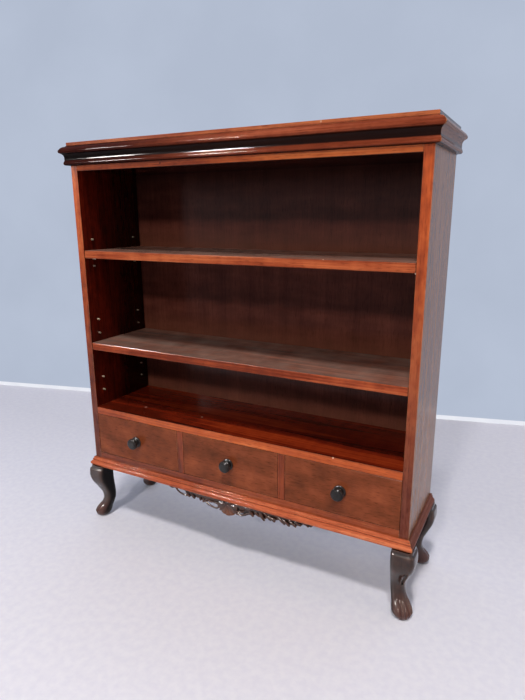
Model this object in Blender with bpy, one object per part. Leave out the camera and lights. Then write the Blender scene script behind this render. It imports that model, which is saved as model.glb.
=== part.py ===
"""Open bookcase on cabriole legs, with two loose shelves above a row of three drawers.

The carcase is a box of polished boards. It stands on a separate base frame of four rails, to
which the legs, the base moulding and the carved apron are fixed. X runs from left to right as
seen from the front, Y runs from front to back and Z runs up, in metres. The origin is on the
floor, in the middle of the whole piece.
"""

import math

import bmesh
import bpy
from mathutils import Matrix, Vector

for old_object in list(bpy.data.objects):
    bpy.data.objects.remove(old_object, do_unlink=True)

# Carcase
body_width = 1.067
interior_depth = 0.264
side_thickness = 0.024
back_panel_thickness = 0.0055
back_rebate_width = 0.010
frieze_thickness = 0.020

# Heights, stacked from the floor up
leg_height = 0.195
base_frame_height = 0.028
bottom_board_thickness = 0.022
drawer_opening_height = 0.1385
middle_board_thickness = 0.0235
lower_bay_height = 0.197
middle_bay_height = 0.270
upper_bay_height = 0.235
shelf_thickness = 0.0235
top_board_thickness = 0.0235
top_board_lip = 0.015
cornice_height = 0.057
cap_thickness = 0.009

# Mouldings, measured outwards from the faces of the carcase
cornice_reach = 0.0235
cap_overhang = 0.006
base_moulding_reach = 0.0137
base_moulding_height = 0.029
base_rail_width = 0.060

# Legs and apron
knee_width = 0.064
apron_left_reach = 0.211
apron_right_reach = 0.269
apron_drop = 0.047
apron_thickness = 0.016
apron_forward = 0.006
shell_radius = 0.034
shell_relief = 0.005

# Shelves and the pegs under them
shelf_setback = 0.001
shelf_end_gap = 0.001
shelf_back_gap = 0.002
shelf_edge_round = 0.002
peg_inset = 0.0365
peg_radius = 0.0033
peg_length = 0.010
peg_shank_radius = 0.0027
peg_shank_length = 0.0090
peg_hole_radius = 0.0031
peg_hole_depth = 0.0098

# Drawers
divider_thickness = 0.022
drawer_gap = 0.001
drawer_back_gap = 0.004
drawer_front_thickness = 0.020
drawer_side_thickness = 0.010
drawer_side_height = 0.118
drawer_back_thickness = 0.010
drawer_back_drop = 0.006
drawer_bottom_thickness = 0.005
drawer_bottom_lift = 0.008
drawer_groove_depth = 0.005
stop_width = 0.040
stop_depth = 0.012
stop_height = 0.005
knob_radius = 0.018
knob_projection = 0.0295
knob_spigot_radius = 0.0037
knob_spigot_short = 0.001

# Fits and roundings
seat_gap = 0.0003
spigot_clearance = 0.0004
arris_round = 0.0008
cut_overrun = 0.002

carcase_bottom = leg_height + base_frame_height
drawer_floor = carcase_bottom + bottom_board_thickness
middle_board_underside = drawer_floor + drawer_opening_height
middle_board_top = middle_board_underside + middle_board_thickness
lower_shelf_underside = middle_board_top + lower_bay_height
lower_shelf_top = lower_shelf_underside + shelf_thickness
upper_shelf_underside = lower_shelf_top + middle_bay_height
upper_shelf_top = upper_shelf_underside + shelf_thickness
top_board_underside = upper_shelf_top + upper_bay_height
top_board_top = top_board_underside + top_board_thickness
cornice_bottom = top_board_underside + top_board_lip
cap_underside = cornice_bottom + cornice_height
total_height = cap_underside + cap_thickness

half_width = body_width / 2
half_inside = half_width - side_thickness
body_depth = interior_depth + seat_gap + back_panel_thickness
opening_width = (2 * half_inside - 2 * divider_thickness) / 3
drawer_width = opening_width - 2 * drawer_gap
drawer_pitch = opening_width + divider_thickness

# Each row is one section of a leg: its height as a share of the leg's height, the place of its
# centre along the corner's diagonal and its half width as shares of the knee's width, and how
# square it is, from 2 for a circle upwards. Places below zero lie inside the carcase's corner.
leg_section_shares = (
    (0.00, -0.155, 0.235, 2.0),
    (0.02, -0.170, 0.330, 2.0),
    (0.06, -0.190, 0.415, 2.1),
    (0.11, -0.220, 0.430, 2.1),
    (0.17, -0.310, 0.390, 2.1),
    (0.24, -0.450, 0.330, 2.1),
    (0.33, -0.545, 0.305, 2.1),
    (0.45, -0.525, 0.320, 2.2),
    (0.57, -0.405, 0.385, 2.5),
    (0.70, -0.260, 0.470, 3.0),
    (0.81, -0.205, 0.500, 3.6),
    (0.92, -0.235, 0.475, 4.5),
    (0.965, -0.265, 0.430, 5.0),
    (1.00, -0.310, 0.375, 6.0),
)

# Outlines of the mouldings, from the carcase outwards and up. Each row gives a place as shares
# of the reach and the height, and how far the stretch up to the next place bows outwards, as a
# share of that stretch's length.
cornice_shares = (
    (0.00, 0.00, 0.0),
    (0.20, 0.02, 0.42),
    (0.53, 0.22, 0.0),
    (0.49, 0.26, 0.0),
    (0.49, 0.42, -0.17),
    (0.92, 0.63, 0.22),
    (0.90, 0.81, 0.12),
    (0.36, 0.96, 0.0),
    (0.28, 1.00, 0.0),
    (0.00, 1.00, 0.0),
)
base_moulding_shares = (
    (0.00, 0.00, 0.0),
    (0.68, 0.00, 0.24),
    (0.62, 0.74, 0.0),
    (0.44, 0.77, 0.0),
    (0.44, 0.81, 0.0),
    (0.40, 0.83, 0.0),
    (0.38, 0.96, 0.0),
    (0.30, 1.00, 0.0),
    (0.00, 1.00, 0.0),
)

# The turned knob, from its flange out to the middle of its face, as shares of its radius and
# of its projection.
knob_outline_shares = (
    (0.93, 0.00),
    (0.98, 0.07),
    (0.96, 0.15),
    (0.84, 0.20),
    (0.58, 0.25),
    (0.50, 0.33),
    (0.50, 0.43),
    (0.64, 0.52),
    (0.91, 0.58),
    (1.00, 0.66),
    (1.00, 0.77),
    (0.95, 0.86),
    (0.86, 0.91),
    (0.81, 0.88),
    (0.77, 0.97),
    (0.00, 1.00),
)

# Where the scallops of the apron's lower edge meet, from the shell outwards, as shares of a
# wing's reach and of the apron's drop.
apron_notch_shares = (
    (0.13, 0.58),
    (0.33, 0.50),
    (0.50, 0.40),
    (0.67, 0.33),
    (0.84, 0.22),
    (1.00, 0.08),
)
apron_scallop_bow_share = 0.24

# Spare peg holes in each side, as shares of the height between the middle and top boards.
spare_hole_shares = (0.07, 0.13, 0.33, 0.39, 0.62, 0.73)

arc_steps = 4
leg_sides = 24
leg_steps = 2
knob_sides = 24
peg_sides = 12
shell_ribs = 7


def linear_colour(hex_code):
    """Turn an sRGB hex colour into the linear values that a shader takes."""
    channels = [int(hex_code[start:start + 2], 16) / 255 for start in (0, 2, 4)]
    return [((c + 0.055) / 1.055) ** 2.4 if c > 0.04045 else c / 12.92 for c in channels] + [1]


def make_finish(name, hex_code, roughness, metallic=0.0):
    """A plain surface finish."""
    material = bpy.data.materials.new(name)
    material.use_nodes = True
    shader = material.node_tree.nodes["Principled BSDF"]
    shader.inputs["Base Color"].default_value = linear_colour(hex_code)
    shader.inputs["Roughness"].default_value = roughness
    shader.inputs["Metallic"].default_value = metallic
    return material


polished_mahogany = make_finish("polished_mahogany", "7A3A22", 0.22)
polished_panel = make_finish("polished_panel", "5C2C1C", 0.25)
dark_stained_mahogany = make_finish("dark_stained_mahogany", "3A2720", 0.20)
ebonised_wood = make_finish("ebonised_wood", "1B1614", 0.15)
plain_drawer_wood = make_finish("plain_drawer_wood", "A98558", 0.60)
brass = make_finish("brass", "B08D4A", 0.35, 1.0)


def add_piece(name, form, finish, place, parent=None):
    """Make an object from a form in world coordinates, with its origin at the given place."""
    place = Vector(place)
    bmesh.ops.recalc_face_normals(form, faces=form.faces)
    bmesh.ops.translate(form, vec=-place, verts=form.verts)
    mesh = bpy.data.meshes.new(name)
    form.to_mesh(mesh)
    form.free()
    mesh.materials.append(finish)
    piece = bpy.data.objects.new(name, mesh)
    bpy.context.collection.objects.link(piece)
    piece.parent = parent
    piece.location = place - parent.location if parent else place
    return piece


def round_arrises(piece, width, segments=1):
    """Take the sharpness off a piece's edges."""
    bevel = piece.modifiers.new("rounded arrises", "BEVEL")
    bevel.width = width
    bevel.segments = segments
    bevel.limit_method = "ANGLE"


def shade_round(piece):
    """Shade a turned or carved piece smooth, keeping its sharp edges."""
    piece.data.shade_smooth()
    piece.data.set_sharp_from_angle(angle=math.radians(40))


def cut_away(piece, cutter_form):
    """Cut a form, given in world coordinates, out of a piece."""
    cutter = add_piece(piece.name + "_cutter", cutter_form, plain_drawer_wood, (0, 0, 0))
    cutter.hide_render = True
    cutter.display_type = "WIRE"
    cut = piece.modifiers.new("cut", "BOOLEAN")
    cut.operation = "DIFFERENCE"
    cut.object = cutter


def add_box(form, low, high):
    """Add a rectangular block between two corners."""
    low = Vector(low)
    high = Vector(high)
    place = Matrix.Translation((low + high) / 2) @ Matrix.Diagonal((high - low).to_4d())
    bmesh.ops.create_cube(form, size=1, matrix=place)


def add_cylinder(form, middle, axis, radius, length, sides):
    """Add a closed cylinder whose middle and axis are given."""
    turn = Vector((0, 0, 1)).rotation_difference(Vector(axis)).to_matrix().to_4x4()
    bmesh.ops.create_cone(
        form, cap_ends=True, segments=sides, radius1=radius, radius2=radius, depth=length,
        matrix=Matrix.Translation(middle) @ turn,
    )


def add_loft(form, rings):
    """Skin a row of closed rings of points and close both ends."""
    loops = [[form.verts.new(point) for point in ring] for ring in rings]
    count = len(loops[0])
    for ring, following in zip(loops, loops[1:]):
        for index in range(count):
            turn = (index + 1) % count
            form.faces.new((ring[index], ring[turn], following[turn], following[index]))
    form.faces.new(loops[0])
    form.faces.new(loops[-1])


def board(name, low, high, finish, parent=None, rounding=arris_round, segments=1):
    """A straight board between two corners, with its arrises rounded."""
    form = bmesh.new()
    add_box(form, low, high)
    piece = add_piece(name, form, finish, (Vector(low) + Vector(high)) / 2, parent)
    round_arrises(piece, rounding, segments)
    return piece


def arc_stretch(start, end, bow_share):
    """Points from start up to, not including, end, bowed out by a share of their distance."""
    start = Vector(start)
    end = Vector(end)
    if bow_share == 0:
        return [start]
    chord = end - start
    outwards = Vector((chord.y, -chord.x))
    half_angle = 2 * math.atan(2 * abs(bow_share))
    points = []
    for step in range(arc_steps):
        angle = half_angle * (2 * step / arc_steps - 1)
        along = math.sin(angle) / math.sin(half_angle) / 2
        rise = (math.cos(angle) - math.cos(half_angle)) / math.sin(half_angle) / 2
        points.append((start + end) / 2 + chord * along + outwards * math.copysign(rise, bow_share))
    return points


def moulding_outline(shares, reach, height):
    """The closed outline of a moulding: distance from the carcase, and height above its foot."""
    places = [(max(seat_gap, across * reach), up * height) for across, up, bow in shares]
    outline = [Vector(places[0])]
    for index in range(1, len(shares)):
        following = places[(index + 1) % len(places)]
        outline += arc_stretch(places[index], following, shares[index][2])
    return outline


def between(rows, column, place):
    """Read one column of a table of rows at a place in its first column, on a smooth curve."""
    places = [row[0] for row in rows]
    values = [row[column] for row in rows]
    last = len(rows) - 1
    slopes = []
    for index in range(len(rows)):
        before = max(index - 1, 0)
        after = min(index + 1, last)
        slopes.append((values[after] - values[before]) / (places[after] - places[before]))
    index = max(i for i in range(last) if places[i] <= place)
    span = places[index + 1] - places[index]
    part = (place - places[index]) / span
    return (
        values[index] * (1 + 2 * part) * (1 - part) ** 2
        + slopes[index] * span * part * (1 - part) ** 2
        + values[index + 1] * part ** 2 * (3 - 2 * part)
        + slopes[index + 1] * span * part ** 2 * (part - 1)
    )


def leg_sections():
    """Sections up a leg: height, diagonal place of the centre, half width and squareness."""
    sections = []
    for row, following in zip(leg_section_shares, leg_section_shares[1:]):
        for step in range(leg_steps):
            sections.append(row[0] + (following[0] - row[0]) * step / leg_steps)
    sections.append(leg_section_shares[-1][0])
    return [
        (
            share * (leg_height - seat_gap),
            between(leg_section_shares, 1, share) * knee_width,
            between(leg_section_shares, 2, share) * knee_width,
            between(leg_section_shares, 3, share),
        )
        for share in sections
    ]


cornice_outline = moulding_outline(cornice_shares, cornice_reach, cornice_height - seat_gap)
base_moulding_outline = moulding_outline(base_moulding_shares, base_moulding_reach, base_moulding_height)

# The legs swell past the back of the carcase, and the cornice and knobs stand out in front, so
# the carcase is placed to leave the origin in the middle of the whole piece.
knee_reach = max(place / math.sqrt(2) + half for height, place, half, square in leg_sections())
front_reach = max(knob_projection, knee_reach, max(point.x for point in cornice_outline))
body_front = (front_reach - knee_reach - body_depth) / 2
body_back = body_front + body_depth
inside_back = body_front + interior_depth


def make_side_panels():
    """The two sides, rebated for the back panel and bored for the pegs."""
    pegs = [shelf - seat_gap - peg_radius for shelf in (lower_shelf_underside, upper_shelf_underside)]
    bay = top_board_underside - middle_board_top
    spares = [middle_board_top + share * bay for share in spare_hole_shares]
    columns = (body_front + peg_inset, inside_back - peg_inset)
    for name, side in (("left", -1), ("right", 1)):
        inner = half_inside
        rebate = half_inside + back_rebate_width
        outline = (
            (inner, body_front), (half_width, body_front), (half_width, body_back),
            (rebate, body_back), (rebate, inside_back), (inner, inside_back),
        )
        form = bmesh.new()
        heights = (carcase_bottom, cap_underside - seat_gap)
        add_loft(form, [[(side * x, y, z) for x, y in outline] for z in heights])
        middle = (side * (half_width - side_thickness / 2), (body_front + body_back) / 2, carcase_bottom)
        panel = add_piece("side_panel_" + name, form, polished_mahogany, middle)
        round_arrises(panel, arris_round)
        length = peg_hole_depth + cut_overrun
        across = side * (half_inside + peg_hole_depth - length / 2)
        for heights in (pegs, spares):
            holes = bmesh.new()
            for height in heights:
                for column in columns:
                    middle = (across, column, height)
                    add_cylinder(holes, middle, (1, 0, 0), peg_hole_radius, length, peg_sides)
            cut_away(panel, holes)


def make_inner_boards():
    """The boards that run from side to side, the drawer dividers, the frieze and the back."""
    inside = half_inside - seat_gap
    levels = (
        ("bottom_board", carcase_bottom, drawer_floor),
        ("middle_board", middle_board_underside, middle_board_top),
        ("top_board", top_board_underside, top_board_top),
    )
    for name, low, high in levels:
        board(name, (-inside, body_front, low), (inside, inside_back, high), polished_mahogany)
    for name, side in (("left", -1), ("right", 1)):
        middle = side * drawer_pitch / 2
        board(
            "drawer_divider_" + name,
            (middle - divider_thickness / 2, body_front, drawer_floor + seat_gap),
            (middle + divider_thickness / 2, inside_back, middle_board_underside - seat_gap),
            polished_mahogany,
        )
    board(
        "frieze_rail",
        (-inside, body_front, top_board_top + seat_gap),
        (inside, body_front + frieze_thickness, cap_underside - seat_gap),
        polished_mahogany,
    )
    panel_half = half_inside + back_rebate_width - seat_gap
    board(
        "back_panel",
        (-panel_half, inside_back + seat_gap, carcase_bottom),
        (panel_half, body_back, cap_underside - seat_gap),
        polished_panel,
        rounding=arris_round / 2,
    )


def make_cap_board():
    """The thin board that covers the top and oversails the carcase."""
    board(
        "cap_board",
        (-half_width - cap_overhang, body_front - cap_overhang, cap_underside),
        (half_width + cap_overhang, body_back, total_height),
        polished_mahogany,
        segments=2,
    )


def make_moulding(name, outline, foot):
    """Run a moulding along the front and both sides, mitred at the front corners."""
    mitre_gap = seat_gap / math.sqrt(2)
    front = [
        [(side * (half_width + p.x - mitre_gap), body_front - p.x, foot + p.y) for p in outline]
        for side in (-1, 1)
    ]
    form = bmesh.new()
    add_loft(form, front)
    add_piece(name + "_front", form, polished_mahogany, (0, body_front, foot))
    for side_name, side in (("left", -1), ("right", 1)):
        mitred = [(side * (half_width + p.x), body_front - p.x + mitre_gap, foot + p.y) for p in outline]
        square = [(side * (half_width + p.x), body_back, foot + p.y) for p in outline]
        form = bmesh.new()
        add_loft(form, (mitred, square))
        place = (side * half_width, (body_front + body_back) / 2, foot)
        add_piece(name + "_" + side_name, form, polished_mahogany, place)


def make_base_frame():
    """Four flat rails that carry the carcase and stand on the legs."""
    low = leg_height
    high = carcase_bottom - seat_gap
    rails = (
        ("front", -half_width, half_width, body_front, body_front + base_rail_width),
        ("back", -half_width, half_width, body_back - base_rail_width, body_back),
        (
            "left", -half_width, base_rail_width - half_width,
            body_front + base_rail_width + seat_gap, body_back - base_rail_width - seat_gap,
        ),
        (
            "right", half_width - base_rail_width, half_width,
            body_front + base_rail_width + seat_gap, body_back - base_rail_width - seat_gap,
        ),
    )
    for name, left, right, front, back in rails:
        board("base_rail_" + name, (left, front, low), (right, back, high), polished_mahogany)


def squircle(middle_x, middle_y, height, half, squareness):
    """A level ring of points between a circle and a square."""
    ring = []
    for index in range(leg_sides):
        angle = math.tau * index / leg_sides
        across = math.copysign(abs(math.cos(angle)) ** (2 / squareness), math.cos(angle))
        along = math.copysign(abs(math.sin(angle)) ** (2 / squareness), math.sin(angle))
        ring.append((middle_x + half * across, middle_y + half * along, height))
    return ring


def make_legs():
    """Four cabriole legs that flare out along the diagonals of their corners."""
    corners = (
        ("front_left", -1, -1, body_front),
        ("front_right", 1, -1, body_front),
        ("back_left", -1, 1, body_back),
        ("back_right", 1, 1, body_back),
    )
    for name, side, facing, corner_y in corners:
        corner_x = side * half_width
        rings = []
        for height, place, half, square in leg_sections():
            step = place / math.sqrt(2)
            rings.append(squircle(corner_x + side * step, corner_y + facing * step, height, half, square))
        form = bmesh.new()
        add_loft(form, rings)
        leg = add_piece("leg_" + name, form, dark_stained_mahogany, (corner_x, corner_y, 0))
        shade_round(leg)


def apron_outline():
    """The apron's face: straight along the top, scalloped below, lowest at the shell."""
    top = leg_height - seat_gap
    left = [Vector((-apron_left_reach * far, top - apron_drop * low)) for far, low in apron_notch_shares]
    right = [Vector((apron_right_reach * far, top - apron_drop * low)) for far, low in apron_notch_shares]
    notches = left[::-1] + right
    outline = [Vector((-apron_left_reach, top))]
    for start, end in zip(notches, notches[1:]):
        outline += arc_stretch(start, end, apron_scallop_bow_share)
    return outline + [notches[-1], Vector((apron_right_reach, top))]


def shell_surface(middle_z, face):
    """Rings of a ribbed half shell that fans down from the top of the apron."""
    rings = []
    spokes = 2 * shell_ribs + 1
    for depth, spread in ((apron_thickness / 2, 1.0), (0, 1.0), (-shell_relief, 0.55)):
        ring = []
        for index in range(spokes):
            angle = math.pi * (1 + index / (spokes - 1))
            ribbed = shell_radius * spread * (1 if index % 2 else 0.9)
            ring.append((ribbed * math.cos(angle), face + depth, middle_z + ribbed * math.sin(angle)))
        rings.append(ring)
    return rings


def make_apron():
    """The carved apron under the front rail, with a shell in the middle."""
    face = body_front - apron_forward
    top = leg_height - seat_gap
    form = bmesh.new()
    add_loft(form, [[(p.x, y, p.y) for p in apron_outline()] for y in (face, face + apron_thickness)])
    apron = add_piece("carved_apron", form, dark_stained_mahogany, (0, face, top))
    shell = bmesh.new()
    add_loft(shell, shell_surface(top - (apron_drop - shell_radius), face))
    shell_piece = add_piece("apron_shell_form", shell, dark_stained_mahogany, (0, face, top))
    shell_piece.hide_render = True
    shell_piece.display_type = "WIRE"
    join = apron.modifiers.new("shell", "BOOLEAN")
    join.operation = "UNION"
    join.object = shell_piece


def make_shelves():
    """Two loose shelves, each on four brass pegs in the sides."""
    for name, underside in (("lower", lower_shelf_underside), ("upper", upper_shelf_underside)):
        slide = bpy.data.objects.new("shelf_" + name + "_slide", None)
        bpy.context.collection.objects.link(slide)
        slide.location = (0, body_front + shelf_setback, underside)
        board(
            "shelf_" + name,
            (shelf_end_gap - half_inside, body_front + shelf_setback, underside),
            (half_inside - shelf_end_gap, inside_back - shelf_back_gap, underside + shelf_thickness),
            polished_mahogany, parent=slide, rounding=shelf_edge_round, segments=2,
        )
        height = underside - seat_gap - peg_radius
        for row, column in (("front", body_front + peg_inset), ("back", inside_back - peg_inset)):
            for side_name, side in (("left", -1), ("right", 1)):
                make_peg("shelf_peg_" + name + "_" + row + "_" + side_name, side, column, height)


def make_peg(name, side, column, height):
    """One stepped peg: a shank in the side's hole and a thicker pin under the shelf."""
    inner = half_inside - seat_gap
    steps = (
        (half_inside + peg_shank_length, peg_shank_radius),
        (inner, peg_shank_radius),
        (inner, peg_radius),
        (inner - peg_length + peg_radius / 2, peg_radius),
        (inner - peg_length, peg_radius / 2),
    )
    rings = []
    for across, radius in steps:
        angles = [math.tau * index / peg_sides for index in range(peg_sides)]
        rings.append([
            (side * across, column + radius * math.sin(a), height + radius * math.cos(a)) for a in angles
        ])
    form = bmesh.new()
    add_loft(form, rings)
    peg = add_piece(name, form, brass, (side * inner, column, height))
    shade_round(peg)


def make_drawer(name, middle):
    """One drawer: front, sides, back, bottom and knob, with its stop on the bottom board."""
    slide = bpy.data.objects.new("drawer_" + name + "_slide", None)
    bpy.context.collection.objects.link(slide)
    slide.location = (middle, body_front, drawer_floor)
    prefix = "drawer_" + name + "_"
    half = drawer_width / 2
    foot = drawer_floor + seat_gap
    front_back = body_front + drawer_front_thickness
    rear = inside_back - drawer_back_gap
    groove_low = foot + drawer_bottom_lift
    groove_high = groove_low + drawer_bottom_thickness + 2 * seat_gap
    panel_half = half - drawer_side_thickness + drawer_groove_depth - seat_gap
    knob_height = (drawer_floor + middle_board_underside) / 2

    front = board(
        prefix + "front",
        (middle - half, body_front, drawer_floor + drawer_gap),
        (middle + half, front_back, middle_board_underside - drawer_gap),
        polished_mahogany, parent=slide,
    )
    front_cut = bmesh.new()
    add_box(
        front_cut,
        (middle - panel_half - seat_gap, front_back - drawer_groove_depth, groove_low),
        (middle + panel_half + seat_gap, front_back + cut_overrun, groove_high),
    )
    add_cylinder(
        front_cut, (middle, body_front + drawer_front_thickness / 2, knob_height), (0, 1, 0),
        knob_spigot_radius + spigot_clearance, drawer_front_thickness + 2 * cut_overrun, knob_sides,
    )
    cut_away(front, front_cut)

    for side_name, side in (("left", -1), ("right", 1)):
        outer = half
        inner = half - drawer_side_thickness
        groove = inner + drawer_groove_depth
        top = foot + drawer_side_height
        outline = (
            (outer, foot), (outer, top), (inner, top), (inner, groove_high),
            (groove, groove_high), (groove, groove_low), (inner, groove_low), (inner, foot),
        )
        form = bmesh.new()
        ends = (front_back + seat_gap, rear)
        add_loft(form, [[(middle + side * x, y, z) for x, z in outline] for y in ends])
        corner = (middle + side * half, rear, foot)
        add_piece(prefix + side_name + "_side", form, plain_drawer_wood, corner, slide)

    inside = half - drawer_side_thickness - seat_gap
    board(
        prefix + "back",
        (middle - inside, rear - drawer_back_thickness, groove_high),
        (middle + inside, rear, foot + drawer_side_height - drawer_back_drop),
        plain_drawer_wood, parent=slide,
    )
    board(
        prefix + "bottom",
        (middle - panel_half, front_back - drawer_groove_depth + seat_gap, groove_low + seat_gap),
        (middle + panel_half, rear, groove_high - seat_gap),
        plain_drawer_wood, parent=slide, rounding=arris_round / 2,
    )
    stop_front = front_back + seat_gap
    board(
        prefix + "stop",
        (middle - stop_width / 2, stop_front, foot),
        (middle + stop_width / 2, stop_front + stop_depth, foot + stop_height),
        plain_drawer_wood,
    )
    make_knob(prefix + "knob", middle, knob_height, slide)


def make_knob(name, middle, height, parent):
    """A turned knob whose spigot goes through the drawer front."""
    spigot_end = knob_spigot_short - drawer_front_thickness
    outline = [(knob_spigot_radius, spigot_end), (knob_spigot_radius, seat_gap)]
    for across, out in knob_outline_shares:
        outline.append((across * knob_radius, seat_gap + out * (knob_projection - seat_gap)))
    form = bmesh.new()
    rings = []
    for radius, out in outline[:-1]:
        angles = [math.tau * index / knob_sides for index in range(knob_sides)]
        rings.append([
            (middle + radius * math.cos(a), body_front - out, height + radius * math.sin(a)) for a in angles
        ])
    add_loft(form, rings)
    form.faces.ensure_lookup_table()
    tip = Vector((middle, body_front - outline[-1][1], height))
    bmesh.ops.poke(form, faces=[form.faces[-1]])
    form.verts.ensure_lookup_table()
    form.verts[-1].co = tip
    knob = add_piece(name, form, ebonised_wood, (middle, body_front, height), parent)
    shade_round(knob)


make_side_panels()
make_inner_boards()
make_cap_board()
make_moulding("cornice", cornice_outline, cornice_bottom)
make_moulding("base_moulding", base_moulding_outline, leg_height)
make_base_frame()
make_legs()
make_apron()
make_shelves()
for drawer_name, place in (("left", -1), ("middle", 0), ("right", 1)):
    make_drawer(drawer_name, place * drawer_pitch)
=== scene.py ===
"""The looks of an open mahogany bookcase on cabriole legs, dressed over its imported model.

X runs from left to right as seen from the front, Y runs from front to back and Z runs up, in
metres. The sections follow the bookcase as it is put together, and the room comes last.
"""

import math

import bmesh
import bpy
from mathutils import Matrix, Vector


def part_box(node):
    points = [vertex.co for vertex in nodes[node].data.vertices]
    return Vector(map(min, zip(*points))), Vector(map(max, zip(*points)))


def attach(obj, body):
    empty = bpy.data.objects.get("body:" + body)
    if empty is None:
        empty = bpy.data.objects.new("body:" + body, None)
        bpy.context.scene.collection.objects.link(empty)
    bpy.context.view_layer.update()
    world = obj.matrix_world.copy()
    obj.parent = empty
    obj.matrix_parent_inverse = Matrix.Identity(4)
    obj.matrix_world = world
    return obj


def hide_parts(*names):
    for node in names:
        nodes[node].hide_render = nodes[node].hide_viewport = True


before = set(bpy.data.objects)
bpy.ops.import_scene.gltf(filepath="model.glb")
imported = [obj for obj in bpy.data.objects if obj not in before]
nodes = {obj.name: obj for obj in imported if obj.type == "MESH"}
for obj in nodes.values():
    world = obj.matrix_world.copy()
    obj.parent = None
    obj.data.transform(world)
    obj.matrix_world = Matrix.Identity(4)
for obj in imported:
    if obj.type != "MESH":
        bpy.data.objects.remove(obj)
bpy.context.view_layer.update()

# Carcase boards

# The case is a box of solid mahogany boards, stained, filled and French polished. What faces
# the front is given a clearer orange than the faces, in part as painted light, and the front
# edges of the sides darken towards the floor as painted shade. The arrises are worn pale.


def linear_colour(hex_code):
    """Turn an sRGB hex colour into the linear values that a shader takes."""
    channels = [int(hex_code[start:start + 2], 16) / 255 for start in (0, 2, 4)]
    return [((c + 0.055) / 1.055) ** 2.4 if c > 0.04045 else c / 12.92 for c in channels] + [1]


def feed(node, inputs):
    """Fill a node's sockets, given in their order or by name. What fills one is a value, a
    socket, or a node, which stands for its first live output."""
    for key, value in inputs.items() if isinstance(inputs, dict) else enumerate(inputs):
        if isinstance(value, bpy.types.Node):
            value = next(output for output in value.outputs if output.enabled)
        if isinstance(value, bpy.types.NodeSocket):
            node.id_data.links.new(value, node.inputs[key])
        else:
            node.inputs[key].default_value = value


def add_node(tree, kind, inputs=(), stops=(), **settings):
    """Add a node to a tree with its settings, what feeds its sockets, and a ramp's colours."""
    node = tree.nodes.new(kind)
    for name, value in settings.items():
        setattr(node, name, value)
    feed(node, inputs)
    for number, (position, code) in enumerate(stops):
        ramp = node.color_ramp.elements
        stop = ramp[number] if number < 2 else ramp.new(position)
        stop.position, stop.color = position, linear_colour(code)
    return node


def new_finish(name):
    """A new material, its tree, its shader and the place of each point of its surface."""
    material = bpy.data.materials.new(name)
    material.use_nodes = True
    tree = material.node_tree
    return (material, tree, tree.nodes["Principled BSDF"],
            add_node(tree, "ShaderNodeTexCoord").outputs["Object"])


def over_surface(material):
    """A material's tree, and the place and outward direction of each point of its surface, each
    as X, Y and Z."""
    tree = material.node_tree
    return [tree] + [add_node(tree, "ShaderNodeSeparateXYZ", [value]).outputs for value in (
        add_node(tree, "ShaderNodeTexCoord").outputs["Object"],
        add_node(tree, "ShaderNodeNewGeometry").outputs["Normal"])]


def overlay(material, share, colour, blend="MIX"):
    """Lay a colour, from its code or from a node, over a material's own, by a share that varies
    over the surface."""
    base = material.node_tree.nodes["Principled BSDF"].inputs["Base Color"]
    colour = linear_colour(colour) if isinstance(colour, str) else colour
    mixed = add_node(material.node_tree, "ShaderNodeMix", {
        0: share, 6: base.links[0].from_socket, 7: colour}, data_type="RGBA", blend_type=blend)
    feed(base.node, {"Base Color": mixed})


def overlay_between(material, value, start, end, share, colour, blend="MIX"):
    """Lay a colour over a material's own, from nothing where a value is at its start to a share
    of it at its end and beyond."""
    overlay(material, add_node(material.node_tree, "ShaderNodeMapRange", [
        value, start, end, 0.0, share]), colour, blend)


def drawn_out(tree, place, grain, length, width, detail, shift=0.0):
    """Noise drawn out along the grain, which is one of the three axes."""
    scale = [1 / length if axis == grain else 1 / width for axis in "XYZ"]
    stretched = add_node(tree, "ShaderNodeMapping", {
        "Vector": place, "Location": (shift, 2 * shift, 3 * shift), "Scale": scale})
    return add_node(tree, "ShaderNodeTexNoise", {
        "Vector": stretched, "Scale": 1.0, "Detail": detail})


# What the real surface has, with lengths in metres. Mahogany's pores are 0.2 mm wide and too
# fine to show here, so they are drawn 1.6 mm wide and faint.
figure_length, figure_width, figure_turns = 0.90, 0.055, 46.0
grain_length, grain_width = 0.28, 0.0045
pore_length, pore_width, pore_depth = 0.022, 0.0016, 0.00012
polish_ripple_width, polish_ripple_height = 0.035, 0.00009
worn_arris_width = 0.0022
chip_spacing = 0.028
hollow_shade_depth = 0.022
dust_drift_width, dust_seam_width = 0.07, 0.004
painted_shade_bottom, painted_shade_top = 0.35, 1.10
shelf_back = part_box("shelf_lower")[1].y
case_low, case_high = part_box("side_panel_left")[0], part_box("side_panel_right")[1]
case_front = case_low.y


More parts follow.
